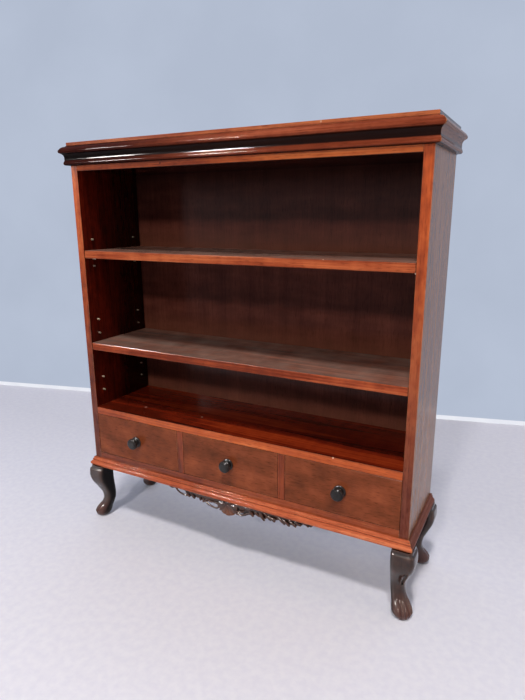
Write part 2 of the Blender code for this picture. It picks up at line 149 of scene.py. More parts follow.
def polished_mahogany(name, grain, face_colours, edge_colours, outer_colours=None, figure=1.0,
                      streaks=0.40, mottling=0.22, mottle=(0.035, 0.060), roughness=0.42,
                      coat=1.0, outer_coat=1.0, gloss=0.10, painted_shade_tint="FFFFFF", hollow_shade=0.0,
                      dust=0.0):
    """Mahogany under French polish: long brown-red figure and cross mottle deep in the wood, and
    a clear, slightly rippled coat over it that mirrors the room. Grain is the axis that the
    figure runs along. The edge colours show on what faces the front, brighter in part as painted
    light, and the painted shade tint darkens them towards the floor. The outer colours show on
    what looks away from the middle of the case. Dust lies on level faces and along the back of a
    shelf, and painted shade darkens hollows."""
    material, tree, shader, place = new_finish(name)
    tree, spot, facing = over_surface(material)
    normal = add_node(tree, "ShaderNodeNewGeometry").outputs["Normal"]
    broad, lines, cross_mottle, pores = (
        drawn_out(tree, place, grain, *sizes) for sizes in (
            (figure_length, figure_width, 2.0, 1.7), (grain_length, grain_width, 4.0, 4.1),
            (*mottle, 3.0, 7.3), (pore_length, pore_width, 1.0, 9.2)))
    turns = add_node(tree, "ShaderNodeMath", [broad, figure_turns], operation="MULTIPLY")
    rings = add_node(tree, "ShaderNodeMath", [turns], operation="SINE")
    depth = 0.5 - (figure + streaks + mottling) / 2
    for pattern, weight in ((broad, figure), (rings, 0.05 * figure), (lines, streaks),
                            (cross_mottle, mottling)):
        depth = add_node(tree, "ShaderNodeMath", [pattern, weight, depth],
                         operation="MULTIPLY_ADD")

    def woods(colours):
        """The colours of the wood from its darkest figure to its lightest."""
        dark, middle, light = colours
        return add_node(tree, "ShaderNodeValToRGB", [depth], [
            (0.27, dark), (0.74, light), (0.5, middle)])

    feed(shader, {"Base Color": woods(face_colours)})
    coat_share = coat
    if outer_colours:
        flat = add_node(tree, "ShaderNodeVectorMath", [place, (1, 1, 0)], operation="MULTIPLY")
        outwards = add_node(tree, "ShaderNodeVectorMath", [flat, normal], operation="DOT_PRODUCT")
        looks_away = add_node(tree, "ShaderNodeMapRange", [outwards, 0.0, 0.03])
        overlay(material, looks_away, woods(outer_colours))
        coat_share = add_node(tree, "ShaderNodeMapRange", [
            looks_away, 0.0, 1.0, coat, outer_coat])
    # Painted shade: what faces the front darkens towards the floor by the painted shade tint.
    lowness = add_node(tree, "ShaderNodeMapRange", [spot["Z"], painted_shade_top, painted_shade_bottom])
    edge = add_node(tree, "ShaderNodeMix", {
        0: lowness, 6: woods(edge_colours), 7: linear_colour(painted_shade_tint)}, data_type="RGBA",
        blend_type="MULTIPLY")
    overlay_between(material, facing["Y"], -0.4, -0.9, 1.0, edge)
    pore_share = add_node(tree, "ShaderNodeMapRange", [pores, 0.58, 0.72, 0.0, 0.5])
    overlay(material, pore_share, "6A4A3C", "MULTIPLY")

    rounded = add_node(tree, "ShaderNodeBevel", {"Radius": worn_arris_width}, samples=6)
    likeness = add_node(tree, "ShaderNodeVectorMath", [rounded, normal], operation="DOT_PRODUCT")
    arris = add_node(tree, "ShaderNodeMapRange", [likeness, 0.985, 0.80])
    chips = add_node(tree, "ShaderNodeTexNoise", {
        "Vector": place, "Scale": 1 / chip_spacing, "Detail": 3.0})
    chipped = add_node(tree, "ShaderNodeMapRange", [chips, 0.42, 0.66, 0.15, 0.85])
    overlay(material, add_node(tree, "ShaderNodeMath", [arris, chipped], operation="MULTIPLY"),
            "C08A62")

    # Painted shade: hollows are darkened where they are shut in by the surface around them.
    if hollow_shade:
        open_sky = add_node(tree, "ShaderNodeAmbientOcclusion", {"Distance": hollow_shade_depth},
                            samples=6).outputs["AO"]
        overlay_between(material, open_sky, 0.86, 0.48, hollow_shade, "120807")
    if dust:
        lying = add_node(tree, "ShaderNodeMapRange", [facing["Z"], 0.8, 1.0, 0.0, dust])
        drifts = add_node(tree, "ShaderNodeTexNoise", {
            "Vector": place, "Scale": 1 / dust_drift_width, "Detail": 6.0})
        swept = add_node(tree, "ShaderNodeMath", [lying, drifts], operation="MULTIPLY")
        at_back = add_node(tree, "ShaderNodeMapRange", [
            spot["Y"], shelf_back - dust_seam_width, shelf_back, 0.0, 0.8],
            interpolation_type="SMOOTHSTEP")
        overlay(material, add_node(tree, "ShaderNodeMath", [swept, at_back], operation="MAXIMUM"),
                "94827A")

    ripple = add_node(tree, "ShaderNodeTexNoise", {
        "Vector": place, "Scale": 1 / polish_ripple_width, "Detail": 1.0})
    feed(shader, {
        "Roughness": add_node(tree, "ShaderNodeMath", [lines, 0.22, roughness - 0.11],
                              operation="MULTIPLY_ADD"),
        "Normal": add_node(tree, "ShaderNodeBump", {
            "Height": pore_share, "Distance": -pore_depth, "Strength": 0.6}),
        "Coat Normal": add_node(tree, "ShaderNodeBump", {
            "Height": ripple, "Distance": polish_ripple_height, "Strength": 1.0}),
        "Specular IOR Level": 0.0, "Coat Weight": coat_share, "Coat Roughness": gloss,
        "Coat IOR": 1.28})
    return material


def dress(finish, record_slot, *names):
    """Give CAD nodes their finish."""
    for name in names:
        for holder in nodes[name].material_slots:
            holder.material = finish


mark_raggedness = 0.004


def add_marks(material, *marks):
    """Put small ragged marks, such as specks and chips, on a material. Each has its middle, its
    radius and its colour."""
    tree = material.node_tree
    place = add_node(tree, "ShaderNodeTexCoord").outputs["Object"]
    ragged = add_node(tree, "ShaderNodeTexNoise", {
        "Vector": place, "Scale": 1 / mark_raggedness, "Detail": 2.0})
    for middle, radius, code in marks:
        away = add_node(tree, "ShaderNodeVectorMath", [place, middle], operation="DISTANCE")
        uneven = add_node(tree, "ShaderNodeMath", [ragged, radius, away],
                          operation="MULTIPLY_ADD")
        overlay_between(material, uneven, 1.5 * radius, 1.2 * radius, 0.85, code)


# The sides have a close cross mottle. Their outer faces are a dull brown, and their inner faces
# are much darker, in part as painted shade. The cap board is the darkest. The front edges of the
# sides and of the long boards are the brightest orange, while the edge of the bottom board is
# kept brown as painted shade.
face_woods = ("2C0C05", "4E190A", "782C12")
mahogany_side = polished_mahogany(
    "french_polished_mahogany_side", "Z", ("2A0803", "4A1006", "6A1C0A"),
    ("762C12", "B04E22", "D87238"), ("6E4932", "80583C", "906648"), figure=0.7, mottling=0.42,
    mottle=(0.030, 0.014), outer_coat=0.98, gloss=0.24, painted_shade_tint="8991CE")
mahogany_upright = polished_mahogany("french_polished_mahogany_upright", "Z", face_woods,
                                     ("5A2210", "80381A", "9C4E26"))
mahogany_top = polished_mahogany(
    "french_polished_mahogany_top", "X", ("1E0A06", "3A150B", "562413"),
    ("6C2E1C", "94462A", "B8683E"), mottling=0.30)
mahogany_long = polished_mahogany(
    "french_polished_mahogany_long", "X", ("3A1008", "641C0C", "8E3416"),
    ("803418", "B05224", "D2743A"))
mahogany_low = polished_mahogany("french_polished_mahogany_low", "X", face_woods,
                                 ("662A16", "8C4222", "A65E36"))

# Painted shade: towards the back, the insides of the sides are darkened almost black.
inner_shade_start, inner_shade_depth = 0.06, 0.20
tree, spot, facing = over_surface(mahogany_side)
side_turn = add_node(tree, "ShaderNodeMath", [spot["X"], facing["X"]], operation="MULTIPLY")
inside = add_node(tree, "ShaderNodeMapRange", [side_turn, -0.30, -0.45, 0.0, 0.8])
far_in = add_node(tree, "ShaderNodeMapRange", [
    spot["Y"], case_front + inner_shade_start, case_front + inner_shade_depth])
overlay(mahogany_side, add_node(tree, "ShaderNodeMath", [inside, far_in], operation="MULTIPLY"),
        "0C0302")
# Painted shade: faces that look down, such as the underside of the top board, are darkened nearly
# black.
tree, spot, facing = over_surface(mahogany_long)
overlay_between(mahogany_long, facing["Z"], -0.4, -0.8, 0.85, "0E0403")
dress(mahogany_side, "polished_mahogany", "side_panel_left", "side_panel_right")
dress(mahogany_upright, "polished_mahogany", "drawer_divider_left", "drawer_divider_right")
dress(mahogany_top, "polished_mahogany", "cap_board")
dress(mahogany_long, "polished_mahogany", "top_board", "middle_board", "frieze_rail")
dress(mahogany_low, "polished_mahogany", "bottom_board")
add_marks(mahogany_top, ((0.275, case_front - 0.006, 1.234), 0.0028, "C8987A"))
add_marks(mahogany_long,
          ((0.3255, case_front, 0.4056), 0.003, "D8B49A"),
          ((-0.3640, case_front + 0.074, 0.407), 0.004, "A08A82"),
          ((-0.1463, case_front + 0.084, 0.407), 0.004, "94786E"),
          ((-0.1964, case_front, 1.1649), 0.003, "1A0906"))

# Back panel

# A thin mahogany panel, let into rebates in the sides. It is stained darker than the boards and
# polished on its face, with the grain upright. Its rear is left bare and has dried brown.

panel_woods = ("361A14", "522B23", "6A3C30")
mahogany_panel = polished_mahogany(
    "polished_mahogany_panel", "Z", panel_woods, panel_woods, ("3A2418", "4C3020", "5E3E2A"),
    figure=0.35, streaks=0.18, mottling=0.34, mottle=(0.030, 0.110), roughness=0.5, coat=0.55,
    outer_coat=0.05, gloss=0.15)
# The polish has gone dull in the middle bay and under the top. Each row is a rise in height and
# what it multiplies the shine by.
shine_changes = ((0.61, 0.65, 0.4), (0.87, 0.92, 1 / 0.4), (1.07, 1.14, 0.15))
tree, spot, facing = over_surface(mahogany_panel)
weight = tree.nodes["Principled BSDF"].inputs["Coat Weight"]
shine = weight.links[0].from_socket
for start, end, change in shine_changes:
    factor = add_node(tree, "ShaderNodeMapRange", [spot["Z"], start, end, 1.0, change])
    shine = add_node(tree, "ShaderNodeMath", [shine, factor], operation="MULTIPLY")
feed(weight.node, {"Coat Weight": shine})
# Painted light lightens the foot of each bay just above each board, and painted shade darkens
# the top of the back under the top board.
painted_light_height, foot_overlap, painted_light_share = 0.07, 0.01, 0.38
top_shade_low, top_shade_high, top_shade_share = 1.05, 1.15, 0.75
front = add_node(tree, "ShaderNodeMath", [facing["Y"], 0.0], operation="LESS_THAN")
for board in ("middle_board", "shelf_lower", "shelf_upper"):
    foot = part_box(board)[1].z
    fades = add_node(tree, "ShaderNodeMapRange", [
        spot["Z"], foot + painted_light_height, foot, 0.0, painted_light_share])
    above = add_node(tree, "ShaderNodeMath", [spot["Z"], foot - foot_overlap],
                     operation="GREATER_THAN")
    share = add_node(tree, "ShaderNodeMath", [fades, above], operation="MULTIPLY")
    overlay(mahogany_panel, add_node(tree, "ShaderNodeMath", [share, front],
                                     operation="MULTIPLY"), "7C4C3A")
painted_top_shade = add_node(tree, "ShaderNodeMapRange", [
    spot["Z"], top_shade_low, top_shade_high, 0.0, top_shade_share])
overlay(mahogany_panel, add_node(tree, "ShaderNodeMath", [painted_top_shade, front],
                                 operation="MULTIPLY"), "0E0504")
dress(mahogany_panel, "polished_panel", "back_panel")

# Cornice

# A stuck moulding in three mitred runs, planted on the top of the case: a bead at the bottom, a
# fillet, a hollow, and a wide ovolo under the cap board.

# Each row gives a place on the outline as shares of the reach and the height, and how far the
# stretch up to the next place bows outwards, as a share of that stretch's length.
cornice_outline = (
    (0.00, 0.00, 0.0), (0.20, 0.02, 0.42), (0.53, 0.22, 0.0), (0.49, 0.26, 0.0),
    (0.49, 0.42, -0.17), (0.92, 0.63, 0.22), (0.90, 0.81, 0.12), (0.36, 0.96, 0.0),
    (0.28, 1.00, 0.0), (0.00, 1.00, 0.0))
bow_steps = 14
run_step = 0.05
mitre_gap = 0.0002


def bowed_outline(rows, reach, height):
    """The points of a moulding's outline, from the case outwards and up."""
    places = [Vector((out * reach, up * height)) for out, up, bow in rows]
    points = []
    for (out, up, bow), here, there in zip(rows, places, places[1:]):
        along = there - here
        across = Vector((along.y, -along.x))
        steps = bow_steps if bow else 1
        for step in range(steps):
            share = step / steps
            points.append(here + along * share + across * (bow * 4 * share * (1 - share)))
    return points + [places[-1]]


def skin(shape, rings, closed=True):
    """Join rings of points one after another with faces, and close the two ends."""
    for one, other in zip(rings, rings[1:]):
        for index in range(len(one)):
            after = (index + 1) % len(one)
            shape.faces.new((one[index], one[after], other[after], other[index]))
    if closed:
        shape.faces.new(rings[0])
        shape.faces.new(rings[-1])


def settled(name, shape, degrees):
    """Turn a shape into a mesh with its faces outwards, shaded smooth apart from edges that are
    sharper than an angle."""
    bmesh.ops.recalc_face_normals(shape, faces=shape.faces)
    mesh = bpy.data.meshes.new(name)
    shape.to_mesh(mesh)
    shape.free()
    for face in mesh.polygons:
        face.use_smooth = True
    mesh.set_sharp_from_angle(angle=math.radians(degrees))
    return mesh


def in_scene(name, data):
    """A new object in the scene."""
    thing = bpy.data.objects.new(name, data)
    bpy.context.scene.collection.objects.link(thing)
    return thing


def finished(name, mesh, finish, record_slot, body, *replaced):
    """Make a mesh a piece that rides on a body and stands for CAD nodes."""
    piece = in_scene(name, mesh)
    mesh.materials.clear()
    mesh.materials.append(finish)
    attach(piece, body)
    if replaced:
        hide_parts(*replaced)


def moulding_runs(name, rows, front_finish, return_finish):
    """The front run of a moulding and its two returns, mitred where they meet. Each end of a
    run has its place on the case's corner, and the direction, per metre of reach, in which the
    cut runs outwards."""
    low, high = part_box(name + "_front")
    outline = bowed_outline(rows, case_front - low.y, high.z - low.z)
    left, right = Vector((case_low.x, case_front, low.z)), Vector((case_high.x, case_front, low.z))
    back = Vector((0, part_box(name + "_left")[1].y - case_front, 0))
    aside = Vector((mitre_gap, 0, 0))
    for side, finish, start, start_cut, end, end_cut in (
            ("front", front_finish, left + aside, (-1, -1, 0), right - aside, (1, -1, 0)),
            ("left", return_finish, left + back, (-1, 0, 0), left - aside, (-1, -1, 0)),
            ("right", return_finish, right + back, (1, 0, 0), right + aside, (1, -1, 0))):
        shape = bmesh.new()
        rings = []
        count = 1 + int((end - start).length / run_step)
        for step in range(count + 1):
            corner = start.lerp(end, step / count)
            outwards = Vector(start_cut).lerp(Vector(end_cut), step / count)
            rings.append([shape.verts.new(corner + outwards * point.x + Vector((0, 0, point.y)))
                          for point in outline])
        skin(shape, rings)
        finished(f"{name}_{side}_run", settled(f"{name}_{side}_run", shape, degrees=32),
                 finish, "polished_mahogany", "carcase", f"{name}_{side}")


moulding_woods = ("4A1C10", "76341E", "9C5238")
return_woods = ("583A2E", "745040", "8C6654")
moulding_long = polished_mahogany("french_polished_moulding_long", "X", moulding_woods,
                                  moulding_woods, figure=0.6, roughness=0.34, coat=0.30,
                                  gloss=0.09, hollow_shade=0.9)
moulding_deep = polished_mahogany("french_polished_moulding_deep", "Y", return_woods,
                                  return_woods, figure=0.4, roughness=0.4, coat=0.6, hollow_shade=0.6)
moulding_runs("cornice", cornice_outline, moulding_long, moulding_deep)

# The front run darkens to chocolate towards its left end. Painted shade lies nearly black in
# the hollow and under the bead. A band is a bottom and a top, as shares of the moulding's
# height, and a strength.
tree, spot, facing = over_surface(moulding_long)
overlay_between(moulding_long, spot["X"], 0.04, -0.34, 0.95, "64423F", "MULTIPLY")
cornice_low, cornice_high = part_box("cornice_front")
painted_shade_fade = 0.0012
for finish, bands in ((moulding_long, ((0.27, 0.62, 0.94), (-0.10, 0.05, 0.8))),
                      (moulding_deep, ((0.24, 0.34, 0.6), (-0.10, 0.04, 0.7)))):
    tree, spot, facing = over_surface(finish)
    for start, end, strength in bands:
        start, end = (cornice_low.z + share * (cornice_high.z - cornice_low.z)
                      for share in (start, end))
        above = add_node(tree, "ShaderNodeMapRange", [
            spot["Z"], start - painted_shade_fade, start + painted_shade_fade])
        below = add_node(tree, "ShaderNodeMapRange", [
            spot["Z"], end + painted_shade_fade, end - painted_shade_fade, 0.0, strength])
        overlay(finish, add_node(tree, "ShaderNodeMath", [above, below], operation="MULTIPLY"),
                "0C0706")

# Base moulding and base frame

# A flattened torus with a small quirk and fillet above it, mitred round the case where it meets
# the base frame. The rails of the frame behind it are left plain and stained.

base_moulding_outline = (
    (0.00, 0.00, 0.0), (0.68, 0.00, 0.30), (0.62, 0.60, 0.0), (0.52, 0.62, 0.0),
    (0.53, 0.65, 0.28), (0.50, 0.80, 0.0), (0.41, 0.82, 0.0), (0.41, 0.95, 0.10),
    (0.31, 1.00, 0.0), (0.00, 1.00, 0.0))
# The torus's front run is a bright orange, and its returns are brown.
torus_woods = ("863E2A", "B65E3E", "DC865C")
low_return_woods = ("4A2820", "643A30", "7C5044")
torus_long = polished_mahogany("french_polished_torus_long", "X", torus_woods, torus_woods,
                               figure=0.6, roughness=0.34, coat=0.36, gloss=0.08, hollow_shade=0.6)
torus_deep = polished_mahogany("french_polished_torus_deep", "Y", low_return_woods,
                               low_return_woods, figure=0.4, roughness=0.4, coat=0.45, hollow_shade=0.6)
moulding_runs("base_moulding", base_moulding_outline, torus_long, torus_deep)

rail_woods = ("1E0F0A", "2E1810", "422418")
stained_rails = polished_mahogany("stained_mahogany_rails", "X", rail_woods, rail_woods,
                                  roughness=0.6, coat=0.15)
dress(stained_rails, "dark_stained_mahogany", "base_rail_front", "base_rail_back",
      "base_rail_left", "base_rail_right")

# Legs

# Four cabriole legs of mahogany, sawn and carved from the square and stained nearly black. Each
# leans out along the diagonal of its corner from a square knee, and ends in a slipper foot cut
# with toes. They are screwed up into the base frame.

# Each row is one section of a leg: its height as a share of the leg's height, the place of its
# centre along the corner's diagonal and its half width as shares of the knee's width, and how
# square it is, from 2 for a circle upwards. Places below zero lie inside the case's corner.
leg_rows = (
    (0.000, -0.155, 0.235, 2.0), (0.006, -0.158, 0.290, 2.0), (0.030, -0.172, 0.352, 2.0),
    (0.070, -0.192, 0.418, 2.1), (0.110, -0.222, 0.428, 2.1), (0.170, -0.310, 0.388, 2.1),
    (0.240, -0.450, 0.330, 2.2), (0.330, -0.545, 0.305, 2.4), (0.450, -0.525, 0.320, 2.7),
    (0.570, -0.405, 0.385, 3.2), (0.700, -0.260, 0.470, 3.8), (0.810, -0.205, 0.500, 4.4),
    (0.885, -0.212, 0.494, 4.8), (0.930, -0.224, 0.484, 5.2), (0.944, -0.232, 0.474, 5.6),
    (0.956, -0.262, 0.440, 6.0), (1.000, -0.278, 0.426, 6.0))
knee_width = 0.064
leg_levels, leg_around = 110, 96
toe_cut_depth, toe_cut_width = 0.0034, 0.10
toe_cut_angles = (-0.62, -0.22, 0.22, 0.62)
toe_cut_heights = (0.003, 0.012, 0.034, 0.058)
# A hollow is carved below one knee: sideways from the case's corner, and up from the floor.
knee_hollow = ((0.0035, 0.1300), (0.0000, 0.1235), (-0.0035, 0.1150), (-0.0065, 0.1050),
               (-0.0090, 0.0950), (-0.0098, 0.0860))
knee_hollow_width, knee_hollow_depth = 0.0048, 0.0055
# How far each foot stands from its place under the knee: sideways out and, for the front legs
# forwards, for the back legs backwards. They were sawn by eye and no two are alike.
foot_drifts = {"front_left": (0.007, -0.003), "front_right": (0.005, 0.010),
               "back_left": (-0.002, -0.006), "back_right": (-0.003, -0.006)}
drift_top = 0.125


def eased(value, low, high):
    """From 0 at low to 1 at high, with soft ends."""
    share = min(1.0, max(0.0, (value - low) / (high - low)))
    return share * share * (3 - 2 * share)


def smooth_row(rows, place):
    """The row at a place between rows, on a smooth curve through them."""
    last = len(rows) - 1
    here = max(index for index in range(last) if rows[index][0] <= place or index == 0)
    one, two = rows[here], rows[here + 1]
    before, after = rows[max(here - 1, 0)], rows[min(here + 2, last)]
    span = two[0] - one[0]
    share = (place - one[0]) / span
    found = []
    for column in range(1, len(one)):
        start_slope = (two[column] - before[column]) / max(two[0] - before[0], 1e-6) * span
        end_slope = (after[column] - one[column]) / max(after[0] - one[0], 1e-6) * span
        found.append(one[column] * (1 + 2 * share) * (1 - share) ** 2
                     + start_slope * share * (1 - share) ** 2
                     + two[column] * share ** 2 * (3 - 2 * share)
                     + end_slope * share ** 2 * (share - 1))
    return found


def away_from(path, point):
    """How far a flat point is from a path, and how far along the path its foot is."""
    nearest = (1e9, 0.0)
    for number, (start, end) in enumerate(zip(path, path[1:])):
        run = Vector(end) - Vector(start)
        share = min(1.0, max(0.0, (Vector(point) - Vector(start)).dot(run) / run.dot(run)))
        gap = (Vector(start) + run * share - Vector(point)).length
        nearest = min(nearest, (gap, (number + share) / (len(path) - 1)))
    return nearest


def leg_mesh(name, side, ahead, corner, height, drift, hollow):
    """One leg. Its own across and along run outwards from the case's corner, and side and ahead
    are the signs of X and Y in which they run."""
    shape = bmesh.new()
    rings = []
    for level in range(leg_levels + 1):
        share = level / leg_levels
        place, half, square = smooth_row(leg_rows, share)
        up = share * height
        middle, half = place * knee_width / math.sqrt(2), half * knee_width
        lower = 1 - eased(up, 0.0, drift_top)
        toes = eased(up, *toe_cut_heights[:2]) * (1 - eased(up, *toe_cut_heights[2:]))
        ring = []
        for index in range(leg_around):
            angle = math.tau * index / leg_around
            across = math.copysign(abs(math.cos(angle)) ** (2 / square), math.cos(angle))
            along = math.copysign(abs(math.sin(angle)) ** (2 / square), math.sin(angle))
            turn = (angle - math.pi / 4 + math.pi) % math.tau - math.pi
            cut = sum(math.exp(-((turn - line) / toe_cut_width) ** 2) for line in toe_cut_angles)
            scale = half - toe_cut_depth * cut * toes
            spot = [middle + across * scale + drift[0] * lower,
                    middle + along * scale + drift[1] * lower]
            if hollow and along > 0.3:
                gap, far = away_from(hollow, (spot[0], up))
                width = knee_hollow_width * math.sin(math.pi * (0.15 + 0.7 * far))
                spot[1] -= knee_hollow_depth * math.exp(-(gap / width) ** 2)
            ring.append(shape.verts.new((corner.x + side * spot[0],
                                         corner.y + ahead * spot[1], up)))
        rings.append(ring)
    skin(shape, rings)
    return settled(name, shape, degrees=40)


stain_clouds_per_metre = 55.0
fibres_per_metre = (260, 260, 30)
tool_mark_depth = 0.0008


def dark_carved_mahogany(name, hollow, body, ridge, painted_glint, roughness, shut_in_depth=0.004):
    """Dark stained and waxed carving. The stain lies thick in the cuts, and hands and dusters
    have rubbed the ridges back to brown. The most raised edges carry a painted glint and the
    shut-in cuts a painted shade, so the carving reads by its edges."""
    material, tree, shader, place = new_finish(name)
    level = add_node(tree, "ShaderNodeNewGeometry").outputs["Pointiness"]
    cloud = add_node(tree, "ShaderNodeTexNoise", {
        "Vector": place, "Scale": stain_clouds_per_metre, "Detail": 5.0})
    fine = add_node(tree, "ShaderNodeMapping", {"Vector": place, "Scale": fibres_per_metre})
    fibre = add_node(tree, "ShaderNodeTexNoise", {"Vector": fine, "Scale": 1.0, "Detail": 3.0})
    for pattern, weight in ((cloud, 0.10), (fibre, 0.05)):
        level = add_node(tree, "ShaderNodeMath", [pattern, weight, level],
                         operation="MULTIPLY_ADD")
    feed(shader, {
        "Base Color": add_node(tree, "ShaderNodeValToRGB", [level], [
            (0.50, hollow), (0.68, painted_glint), (0.56, body), (0.61, ridge)]),
        "Roughness": add_node(tree, "ShaderNodeMath", [fibre, 0.25, roughness - 0.12],
                              operation="MULTIPLY_ADD"),
        "Normal": add_node(tree, "ShaderNodeBump", {
            "Height": cloud, "Distance": tool_mark_depth, "Strength": 0.5}),
        "Specular IOR Level": 0.06, "Coat Weight": 1.0, "Coat Roughness": 0.13,
        "Coat IOR": 1.42})
    # Painted shade: the cuts darken where the carving shuts them in.
    open_sky = add_node(tree, "ShaderNodeAmbientOcclusion", {"Distance": shut_in_depth},
                        samples=8).outputs["AO"]
    overlay_between(material, open_sky, 0.80, 0.45, 0.95, hollow)
    return material


# The lightest colour on the legs, on their most raised edges, is a painted glint.
dark_leg_stain = dark_carved_mahogany(
    "dark_stained_mahogany_legs", "060302", "24140E", "3A2218", "6E4A38", 0.42, 0.008)
# The feet are rubbed red-brown. The sides that look towards the middle of the case are painted
# black as shade, and their polish is made dull.
foot_top = 0.066
tree, spot, facing = over_surface(dark_leg_stain)
side_turn = add_node(tree, "ShaderNodeMath", [spot["X"], facing["X"]], operation="MULTIPLY")
overlay_between(dark_leg_stain, spot["Z"], foot_top, foot_top / 2, 0.55, "4E2418")
overlay_between(dark_leg_stain, side_turn, -0.22, -0.45, 0.93, "060303")
feed(tree.nodes["Principled BSDF"], {"Coat Weight": add_node(tree, "ShaderNodeMapRange", [
    side_turn, -0.45, -0.22, 0.3, 1.0])})
leg_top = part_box("leg_front_left")[1].z
for end, ahead, corner_y in (("front", -1, case_front), ("back", 1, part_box("back_panel")[1].y)):
    for side_name, side, corner_x in (("left", -1, case_low.x), ("right", 1, case_high.x)):
        corner_name = f"{end}_{side_name}"
        leg = leg_mesh(f"cabriole_leg_{corner_name}", side, ahead,
                       Vector((corner_x, corner_y, 0)), leg_top, foot_drifts[corner_name],
                       knee_hollow if corner_name == "front_right" else ())
        finished(leg.name, leg, dark_leg_stain, "dark_stained_mahogany", "carcase",
                 f"leg_{corner_name}")

# Carved apron

# A thin mahogany board under the front moulding, pierced and carved in the rococo manner: a
# ribbed shell in the middle, a C scroll on each side of it, and leafy wings that thin out
# towards the legs. It is stained as dark as the legs.

mm = 0.001
# Each stroke of the gouge is a row of points: how far from the middle towards the wing's end, how
# far below the moulding, how far the stroke's middle stands out from the board, and its half
# width, all in mm. The first stroke of each wing is its rib along the moulding.
left_wing = (
    ((16, 4.2, 1, 4), (61, 4.2, 2, 4.2), (102, 4.2, 2, 3.8), (143, 3, 1, 3), (180, 2, 0, 2.2),
     (205, 2.5, 1, 2.2), (223, 1, 0, 1.5)),
    ((219, 2, 1, 2.6), (212, 5.5, 1, 2.2), (210, 9.2, 0, 1.3)),
    ((197, 3, 1, 1.6), (188, 10.4, 2, 2.1), (176, 15.9, 3, 2.3), (164, 18.6, 3, 2.4),
     (153, 19.6, 3, 2.4), (148, 15.4, 2, 2.2), (148, 8, 2, 2.2)),
    ((155, 4.2, 2, 2.4), (150, 12.9, 3, 2.8), (144, 19.1, 3, 2.6), (141, 22.1, 2, 2)),
    ((137, 5.5, 2, 3), (131, 12.9, 3, 3), (125, 19.7, 3, 2.7), (122, 22.8, 2, 2.1)),
    ((116, 4.2, 2, 3), (112, 10.4, 3, 2.8), (109, 16.6, 2, 2.6)),
    ((100, 22.8, 3, 2.2), (103, 12.9, 4, 2.2), (96, 4.9, 4, 2.3), (86, 4.2, 4, 2.3),
     (80, 11.1, 4, 2.3), (83, 19.1, 4, 2.2), (92, 24.7, 3, 2.5)),
    ((93, 10.4, 3, 1.6), (89, 14.8, 3, 1.5), (94, 17.3, 3, 1.2)),
    ((77, 3, 3, 2.4), (74, 10.4, 4, 2.6), (66, 16.1, 4, 2.4), (56, 17.4, 3, 1.8)),
    ((80, 21.6, 3, 2.4), (71, 26.6, 4, 2.5), (61, 30.4, 4, 2.5), (50, 32.4, 4, 2.5),
     (40, 31.6, 4, 2.5), (34, 26.1, 4, 2.3), (36, 17.9, 4, 2.3), (45, 14.2, 4, 2.1),
     (52, 16.6, 3, 1.7)),
    ((30, 36.5, 3, 2.4), (25, 24.1, 4, 2.4), (27, 11.7, 4, 2.6), (36, 5.5, 4, 2.6),
     (46, 4.9, 3, 2.4)))
right_wing = (
    ((16, 4.2, 1, 4), (60, 4.2, 2, 4.4), (103, 4.2, 2, 4), (148, 4.2, 1, 3.6), (197, 4.2, 0, 3),
     (236, 3, 0, 2.4), (270, 2, 0, 1.7)),
    ((26, 34, 3, 2.2), (36, 32.8, 4, 2.4), (46, 32.8, 4, 2.7), (58, 27.6, 4, 2.8),
     (69, 22.3, 3, 2.6), (77, 21.1, 3, 2.4)),
    ((26, 21.6, 5, 1.7), (35, 24.8, 5, 1.9), (46, 23.6, 5, 1.8), (54, 17.9, 4, 1.6)),
    ((23, 16.6, 3, 2), (22, 9.2, 4, 2.2), (27, 4.2, 4, 2.3), (36, 5.2, 4, 2.4),
     (46, 9.9, 4, 2.4), (57, 11.7, 3, 2.4)),
    ((69, 6.7, 2, 3), (77, 15.4, 4, 3.1), (83, 22.8, 4, 3), (86, 27.1, 3, 2.2)),
    ((89, 6.7, 2, 3), (97, 14.2, 4, 3.1), (105, 19.4, 3, 2.8), (111, 21.1, 3, 2.1)),
    ((107, 5.5, 3, 3.2), (113, 14.2, 5, 3.8), (118, 22.8, 5, 3.4), (123, 30.3, 3, 2)),
    ((115, 2, 6, 1.5), (126, 5.5, 7, 1.7), (137, 12.3, 7, 1.8), (149, 14.2, 6, 2.1),
     (159, 16.6, 4, 1.8)),
    ((123, 23.5, 5, 1.4), (132, 15.4, 6, 1.6), (141, 8.6, 5, 1.6)),
    ((130, 10.4, 3, 2.4), (138, 18.5, 4, 2.6), (145, 22.8, 3, 2.2)),
    ((138, 9.2, 3, 2.6), (147, 16.6, 4, 3), (154, 21.6, 4, 2.8), (158, 23.6, 3, 2.2)),
    ((165, 5.5, 2, 3), (175, 12.3, 4, 3), (185, 19.6, 4, 3), (190, 22.8, 3, 2.3)),
    ((181, 9.2, 3, 2.4), (192, 15.9, 4, 2.8), (200, 21.8, 4, 2.7), (204, 24.1, 3, 2.1)),
    ((201, 6.7, 2, 3), (212, 13.7, 4, 2.8), (219, 19.1, 3, 2.5), (224, 21.1, 3, 1.9)),
    ((220, 5.5, 2, 2.4), (230, 11.7, 3, 2.3), (238, 14.2, 2, 1.7)),
    ((242, 4.2, 1, 2.1), (254, 7.1, 2, 2.1), (261, 11.7, 2, 1.6)),
    ((260, 3, 1, 1.8), (270, 3.5, 0, 1.4)))
